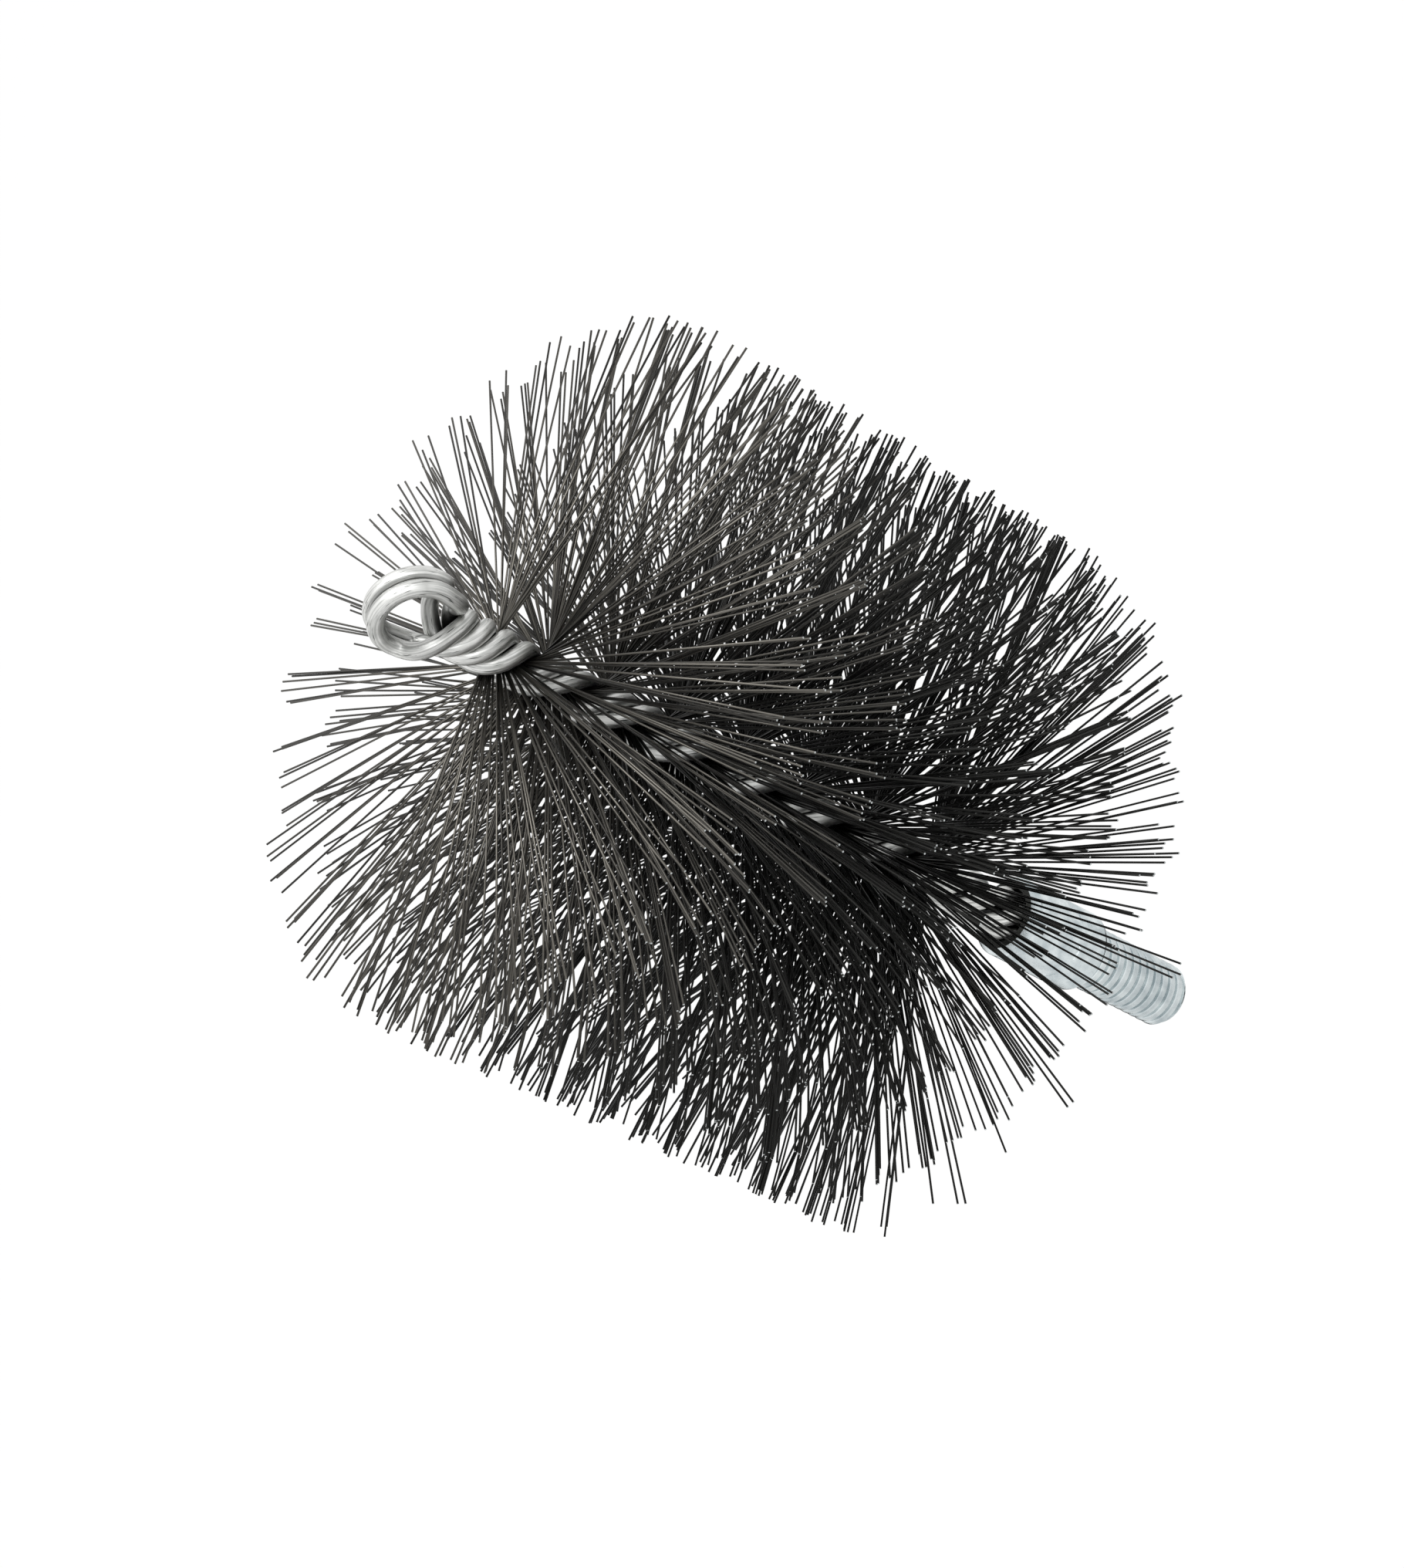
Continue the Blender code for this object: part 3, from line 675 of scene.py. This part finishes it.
# %% Roots of the bristles
sideways = add(tree, "ShaderNodeVectorRotate", {"Vector": outward, "Angle": math.pi / 2},
               rotation_type="Z_AXIS")
half_pack = add(tree, "ShaderNodeMath", {0: given["Pack thickness"], 1: 0.5}, operation="MULTIPLY")
shift = add(tree, "ShaderNodeVectorMath",
            {0: sideways, "Scale": spread(half_pack, 5, wire_number)}, operation="SCALE")
on_axis = add(tree, "ShaderNodeCombineXYZ", {"Z": height})
root = add(tree, "ShaderNodeVectorMath", {0: on_axis, 1: shift})
rooted = add(tree, "GeometryNodeSetPosition", {"Geometry": aimed, "Position": root})
is_stray = add(tree, "GeometryNodeInputNamedAttribute", {"Name": "stray"}, data_type="BOOLEAN")
strays = add(tree, "GeometryNodeMeshToPoints", {"Mesh": given["Geometry"], "Selection": is_stray})
all_roots = add(tree, "GeometryNodeJoinGeometry", {0: strays})
tree.links.new(rooted.outputs[0], all_roots.inputs[0])
print("bristle tree:", len(tree.nodes), "nodes up to the roots")

# %% [markdown]
# One six-sided rod of unit length, with its outer end marked as cut, stands in for every bristle.
# It is placed on each root, turned to its aim and stretched to its own length.

# %% One rod on every root
thin = add(tree, "ShaderNodeMath", {0: given["Diameter"], 1: 0.5}, operation="MULTIPLY")
rod = add(tree, "GeometryNodeMeshCylinder", {"Vertices": 6, "Radius": thin, "Depth": 1.0}, fill_type="NGON")
marked_rod = add(tree, "GeometryNodeStoreNamedAttribute",
                 {"Geometry": rod, "Name": "cut_end", "Value": rod.outputs["Top"]},
                 data_type="FLOAT", domain="FACE")
round_rod = add(tree, "GeometryNodeSetShadeSmooth",
                {"Geometry": marked_rod, "Selection": rod.outputs["Side"]})
standing_rod = add(tree, "GeometryNodeTransform", {"Geometry": round_rod, "Translation": (0, 0, 0.5)})
kept_aim = add(tree, "GeometryNodeInputNamedAttribute", {"Name": "aim"}, data_type="FLOAT_VECTOR")
turned = add(tree, "FunctionNodeAlignRotationToVector", {"Vector": kept_aim}, axis="Z")
half_spread = add(tree, "ShaderNodeMath", {0: given["Cut spread"], 1: 0.5}, operation="MULTIPLY")
mean_length = add(tree, "ShaderNodeMath", {0: given["Reach"], 1: half_spread}, operation="SUBTRACT")
length = add(tree, "ShaderNodeMath", {0: mean_length, 1: spread(half_spread, 6, half_number)})
stretch = add(tree, "ShaderNodeCombineXYZ", {"X": 1.0, "Y": 1.0, "Z": length})
grown = add(tree, "GeometryNodeInstanceOnPoints",
            {"Points": all_roots, "Instance": standing_rod, "Rotation": turned, "Scale": stretch})
tone_draw = add(tree, "FunctionNodeRandomValue",
                {"Min": 0.0, "Max": 1.0, "ID": half_number, "Seed": 17}, data_type="FLOAT")
toned = add(tree, "GeometryNodeStoreNamedAttribute",
            {"Geometry": grown, "Name": "tone", "Value": tone_draw}, data_type="FLOAT", domain="INSTANCE")
real = add(tree, "GeometryNodeRealizeInstances", {0: toned})
finished = add(tree, "GeometryNodeSetMaterial", {"Geometry": real, "Material": given["Finish"]})
add(tree, "NodeGroupOutput", {0: finished})
print("bristle tree:", len(tree.nodes), "nodes")

# %% [markdown]
# All bristles are one piece, because a brush has too many of them to be one each. It takes the
# place of the solid model's 24 tufts.

# %% Grow the bristles
bristles = new_piece("bristles", new_guide("bristle_guide", guide_heights), None)
grow(bristles, tree, {"Finish": bristle_finish})
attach(bristles, "root")
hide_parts(*[f"bristle_tuft_{number:02d}" for number in range(1, TUFTS + 1)])

# %% [markdown]
# ## The threaded fitting
#
# One turned piece: a bored sleeve that a tool pressed on the stem's legs, which left a row of flats
# round it, a solid collar with a rounded shoulder, and a stud with a coarse screw thread.
# The body could be spun and then cut, but the flats are shallow, so its radius is worked out for
# each direction: the smaller of the round and the flat.

# %% Turned body with its press flats
SEAT = 22.7 * MM                 # the shoulder that stops against a rod's coupling
SHOULDER_ROUND = 1.1 * MM
RIM_CHAMFER = 1.0 * MM
RIM_EASE = 0.1 * MM              # the chamfer meets the side in an edge that is eased by this much
SHADE_EDGE = 0.05 * MM         # the painted shade of the end face stops this far down the chamfer
BORE_RADIUS = 4.6 * MM
MOUTH_CHAMFER = 0.25 * MM
BORE_DEPTH = 11.7 * MM
FLATS = 6
FLAT_DEPTH = 0.5 * MM
FLAT_TOP = 1.7 * MM              # from the open end
FLAT_LENGTH = 11.0 * MM
FLAT_RUNOUT = 0.15 * MM
NECK_RADIUS = 4.6 * MM           # the shoulder's face reaches in to here, inside the thread's root
AROUND_STEPS = 144
SIDE_STEPS = 60
ROUND_STEPS = 8


def pressed_radius(z, angle):
    """Radius of the body at height z and in this direction."""
    lean = (angle + math.pi / FLATS) % (2 * math.pi / FLATS) - math.pi / FLATS
    flat = (fitting_radius - FLAT_DEPTH) / math.cos(lean)
    top = fitting_top - FLAT_TOP
    share = smooth((top - z) / FLAT_RUNOUT + 1) * smooth((z - top + FLAT_LENGTH) / FLAT_RUNOUT + 1)
    return fitting_radius + (min(flat, fitting_radius) - fitting_radius) * share


def body_profile():
    """(radius or None where the flats decide, height, share of painted shade) from the bore's floor outwards.
    """
    rim = fitting_radius - RIM_CHAMFER
    top = fitting_top - RIM_CHAMFER - RIM_EASE
    bottom = SEAT + SHOULDER_ROUND
    rows = [(0.0, fitting_top - BORE_DEPTH, 1), (BORE_RADIUS, fitting_top - BORE_DEPTH, 1),
            (BORE_RADIUS, fitting_top - MOUTH_CHAMFER, 1), (BORE_RADIUS + MOUTH_CHAMFER, fitting_top, 1),
            (rim, fitting_top, 1), (rim + SHADE_EDGE, fitting_top - SHADE_EDGE, 0),
            (fitting_radius - RIM_EASE, fitting_top - RIM_CHAMFER + RIM_EASE, 0)]
    rows += [(None, top + (bottom - top) * step / SIDE_STEPS, 0) for step in range(SIDE_STEPS + 1)]
    for step in range(1, ROUND_STEPS + 1):
        angle = math.pi / 2 * step / ROUND_STEPS
        rows.append((fitting_radius - SHOULDER_ROUND * (1 - math.cos(angle)),
                     SEAT + SHOULDER_ROUND * (1 - math.sin(angle)), 0))
    return rows + [(NECK_RADIUS, SEAT, 0), (0.0, SEAT, 0)]


def spun_mesh(name, rows):
    """Rings of points round the axis, joined into a closed skin."""
    shape = bmesh.new()
    mark = shape.faces.layers.float.new("painted_shade_and_dirt")
    rings = []
    for radius, z, painted_shade_and_dirt in rows:
        if radius == 0.0:
            rings.append([shape.verts.new((0, 0, z))] * AROUND_STEPS)
            continue
        ring = []
        for step in range(AROUND_STEPS):
            angle = 2 * math.pi * step / AROUND_STEPS
            here = pressed_radius(z, angle) if radius is None else radius
            ring.append(shape.verts.new((here * math.cos(angle), here * math.sin(angle), z)))
        rings.append(ring)
    for index in range(len(rows) - 1):
        upper, lower = rings[index], rings[index + 1]
        for step in range(AROUND_STEPS):
            after = (step + 1) % AROUND_STEPS
            corners = dict.fromkeys((upper[step], upper[after], lower[after], lower[step]))
            face = shape.faces.new(corners)
            face[mark] = rows[index][2] * rows[index + 1][2]
    bmesh.ops.recalc_face_normals(shape, faces=shape.faces[:])
    mesh = bpy.data.meshes.new(name)
    shape.to_mesh(mesh)
    shape.free()
    return mesh


body_mesh = spun_mesh("fitting_body", body_profile())
print("fitting body:", len(body_mesh.polygons), "faces")

# %% [markdown]
# The thread is a ridge that climbs one pitch a turn. Each column of points round the stud is
# shifted up a little from the last, so that crests and roots run along edges of the mesh and stay
# crisp. At the end of the stud a chamfer cuts the ridge off, and under the shoulder it runs out.

# %% Screw thread, with the pitch and width that the picture shows
PITCH = 1.9 * MM
THREAD_RADIUS = 5.45 * MM
ROOT_RADIUS = 4.7 * MM
RUNOUT_LENGTH = 1.2 * MM
END_CHAMFER = 1.0 * MM
ROOT_SHADE_AND_DIRT = 1.0                  # share of painted shade, with some dirt, in the thread's roots
CREST_SHADE = 0.12            # and of painted shade on its crests; the flanks stay bright
# One pitch, from crest to crest: share of the pitch, and share of the thread's depth
RIDGE = ((0.0, 1.0), (0.16, 0.99), (0.32, 0.95), (0.46, 0.86), (0.56, 0.70), (0.65, 0.12), (0.68, 0.0),
         (0.82, 0.0), (0.85, 0.12), (0.93, 0.80), (0.97, 0.94))
ROOT_LIMIT = 0.2                 # a face is in the root where both its edges are shallower than this,
CREST_LIMIT = 0.8                # and on the crest where both are higher than this
THREAD_STEPS = 96
WELD_DISTANCE = 0.002 * MM


def face_shade_and_dirt(depths):
    """Share of painted shade, with some dirt in the roots, on a face between these two depths."""
    if max(depths) < ROOT_LIMIT:
        return ROOT_SHADE_AND_DIRT
    return CREST_SHADE if min(depths) > CREST_LIMIT else 0.0


def thread_mesh():
    shape = bmesh.new()
    mark = shape.faces.layers.float.new("painted_shade_and_dirt")
    turns = int(SEAT / PITCH) + 3
    columns = []
    for step in range(THREAD_STEPS + 1):
        angle = 2 * math.pi * step / THREAD_STEPS
        column = []
        for turn in range(-2, turns):
            for share, depth in RIDGE:
                z = (turn + share + step / THREAD_STEPS) * PITCH
                radius = ROOT_RADIUS + (THREAD_RADIUS - ROOT_RADIUS) * depth
                z_kept = min(max(z, 0.0), SEAT)
                radius = min(radius, THREAD_RADIUS - END_CHAMFER + z_kept)
                to_seat = (SEAT - z_kept) / RUNOUT_LENGTH
                radius = max(radius, ROOT_RADIUS + (THREAD_RADIUS - ROOT_RADIUS) * (1 - smooth(to_seat)))
                column.append(shape.verts.new((radius * math.cos(angle), radius * math.sin(angle), z_kept)))
        columns.append(column)
    for left, right in zip(columns, columns[1:]):
        for low in range(len(left) - 1):
            face = shape.faces.new((left[low], right[low], right[low + 1], left[low + 1]))
            face[mark] = face_shade_and_dirt((RIDGE[low % len(RIDGE)][1], RIDGE[(low + 1) % len(RIDGE)][1]))
    bmesh.ops.remove_doubles(shape, verts=shape.verts[:], dist=WELD_DISTANCE)
    ends = bmesh.ops.holes_fill(shape, edges=[edge for edge in shape.edges if edge.is_boundary], sides=0)
    for face in ends["faces"]:
        face[mark] = 0.0
    bmesh.ops.recalc_face_normals(shape, faces=shape.faces[:])
    mesh = bpy.data.meshes.new("stud_thread")
    shape.to_mesh(mesh)
    shape.free()
    return mesh


fitting_shape = bmesh.new()
for mesh in (body_mesh, thread_mesh()):
    fitting_shape.from_mesh(mesh)
fitting_mesh = bpy.data.meshes.new("threaded_fitting_skin")
fitting_shape.to_mesh(fitting_mesh)
fitting_shape.free()
fitting_mesh.shade_smooth()
fitting_mesh.set_sharp_from_angle(angle=math.radians(32))
fitting = new_piece("pressed_threaded_fitting", fitting_mesh, zinc)
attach(fitting, "root")
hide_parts("threaded_fitting")
print("fitting:", len(fitting_mesh.polygons), "faces")

# %% [markdown]
# ## Stage, light and camera
#
# A pale floor lies far below, where the head's soft shadow hardly shows. Light Path lets the
# camera, and what shines, see white all round, while the head itself is lit at a plain level.

# %% Floor and backdrop
FLOOR_DEPTH = 0.5                # metres below the head
FLOOR_SIZE = 12.0
WHITE = 1.0                      # the backdrop, for the camera and for what shines or lets light through
ROOM_LIGHT = 0.6                 # the same backdrop as a lamp
FLOOR_GLOW = 1.04 * WHITE        # makes up for the matt rest of the floor, which takes the shadow
FLOOR_GLOW_SHARE = 0.9


def sees_backdrop(tree):
    """1 for the rays of the camera, of reflections and of clear materials, else 0."""
    rays = add(tree, "ShaderNodeLightPath").outputs
    shiny = add(tree, "ShaderNodeMath", {0: rays["Is Glossy Ray"], 1: rays["Is Transmission Ray"]},
                operation="MAXIMUM")
    return add(tree, "ShaderNodeMath", {0: rays["Is Camera Ray"], 1: shiny}, operation="MAXIMUM")


def square_mesh(name, size):
    half = size / 2
    mesh = bpy.data.meshes.new(name)
    mesh.from_pydata([(-half, -half, 0), (half, -half, 0), (half, half, 0), (-half, half, 0)],
                     [], [(0, 1, 2, 3)])
    return mesh


floor_finish = new_finish("pale_studio_floor")
tree = floor_finish.node_tree
matt = add(tree, "ShaderNodeBsdfDiffuse", {"Color": linear("f2f2f0")})
white = add(tree, "ShaderNodeEmission", {"Color": (1, 1, 1, 1), "Strength": FLOOR_GLOW})
mostly = add(tree, "ShaderNodeMath", {0: sees_backdrop(tree), 1: FLOOR_GLOW_SHARE}, operation="MULTIPLY")
mixed = add(tree, "ShaderNodeMixShader", {0: mostly, 1: matt, 2: white})
add(tree, "ShaderNodeOutputMaterial", {"Surface": mixed})
floor = new_piece("studio_floor", square_mesh("studio_floor", FLOOR_SIZE), floor_finish)
floor.location.z = -FLOOR_DEPTH

world = bpy.data.worlds.new("white_studio")
bpy.context.scene.world = world
world.use_nodes = True
tree = world.node_tree
tree.nodes.clear()
strength = add(tree, "ShaderNodeMapRange",
               {"Value": sees_backdrop(tree), "To Min": ROOM_LIGHT, "To Max": WHITE})
sky = add(tree, "ShaderNodeBackground", {"Color": (1, 1, 1, 1), "Strength": strength})
add(tree, "ShaderNodeOutputWorld", {"Surface": sky})
print("floor and white backdrop ready")

# %% [markdown]
# The camera was found from the picture: the slant of the stem, the round outline of the bristles
# by the eye, and the near-round eye fix its direction, and the known reach fixes its distance.

# %% Camera
IMAGE_WIDTH = 1820
IMAGE_HEIGHT = 2032
FOCAL_PIXELS = 7650              # focal length in picture pixels: a long lens
SENSOR = 36                      # mm along the picture's longer side
EYE_END_PIXEL = Vector((625, 838))   # where the stem passes this height in the picture
EYE_END = Vector((0, 0, 163 * MM))
EYE_END_DEPTH = 0.900            # metres in front of the camera
CAMERA_RIGHT = Vector((0.681, -0.252, -0.688)).normalized()
CAMERA_BACK = Vector((0.398, -0.662, 0.636)).normalized()

camera_up = CAMERA_BACK.cross(CAMERA_RIGHT).normalized()
camera_right = camera_up.cross(CAMERA_BACK).normalized()
metres_per_pixel = EYE_END_DEPTH / FOCAL_PIXELS
shift_right = (EYE_END_PIXEL.x - IMAGE_WIDTH / 2) * metres_per_pixel
shift_up = (IMAGE_HEIGHT / 2 - EYE_END_PIXEL.y) * metres_per_pixel
camera_place = EYE_END - camera_right * shift_right - camera_up * shift_up + CAMERA_BACK * EYE_END_DEPTH
camera = bpy.data.objects.new("camera", bpy.data.cameras.new("camera"))
bpy.context.scene.collection.objects.link(camera)
pose = Matrix((camera_right, camera_up, CAMERA_BACK)).transposed().to_4x4()
pose.translation = camera_place
camera.matrix_world = pose
camera.data.sensor_width = SENSOR
camera.data.lens = FOCAL_PIXELS / IMAGE_HEIGHT * SENSOR
camera.data.clip_end = 20
bpy.context.scene.camera = camera
print("camera at", [round(value, 3) for value in camera_place])

# %% [markdown]
# Two big soft lamps stand in front, up and to the left, as for a catalogue picture. Bright metal
# in a white room looks like paper, so two black cards, which only reflections see, give it dark
# lines.

# %% Lamps and dark cards
HEAD_MIDDLE = Vector((0, 0, 110 * MM))


def faced(item, offset):
    """Stand an item off the head's middle, facing it, and keep it out of the picture."""
    item.location = HEAD_MIDDLE + offset
    item.rotation_euler = (-offset).to_track_quat("-Z", "Y").to_euler()
    item.visible_camera = False


def soft_lamp(name, offset, size, power):
    lamp = bpy.data.lights.new(name, "AREA")
    lamp.shape = "SQUARE"
    lamp.size = size
    lamp.energy = power
    item = bpy.data.objects.new(name, lamp)
    bpy.context.scene.collection.objects.link(item)
    faced(item, offset)


def dark_card(name, offset, size):
    item = new_piece(name, square_mesh(name, size), card_finish)
    faced(item, offset)
    item.visible_diffuse = False
    item.visible_shadow = False


card_finish = new_finish("black_card")
tree = card_finish.node_tree
matt = add(tree, "ShaderNodeBsdfPrincipled", {"Base Color": linear("141414"), "Roughness": 0.9})
add(tree, "ShaderNodeOutputMaterial", {"Surface": matt})
soft_lamp("key", camera_up * 0.75 - camera_right * 0.75 + CAMERA_BACK * 0.6, 0.7, 8.0)
soft_lamp("front", CAMERA_BACK * 1.1 + camera_up * 0.35 - camera_right * 0.25, 0.9, 5.0)
dark_card("card_low_left", Vector((-0.36, 0.29, -0.39)), 0.36)
dark_card("card_beyond_stud", Vector((0.08, 0.12, -0.48)), 0.3)
print("two soft lamps and two cards")

# %% Finish: the plain view transform
bpy.context.scene.view_settings.view_transform = "Standard"
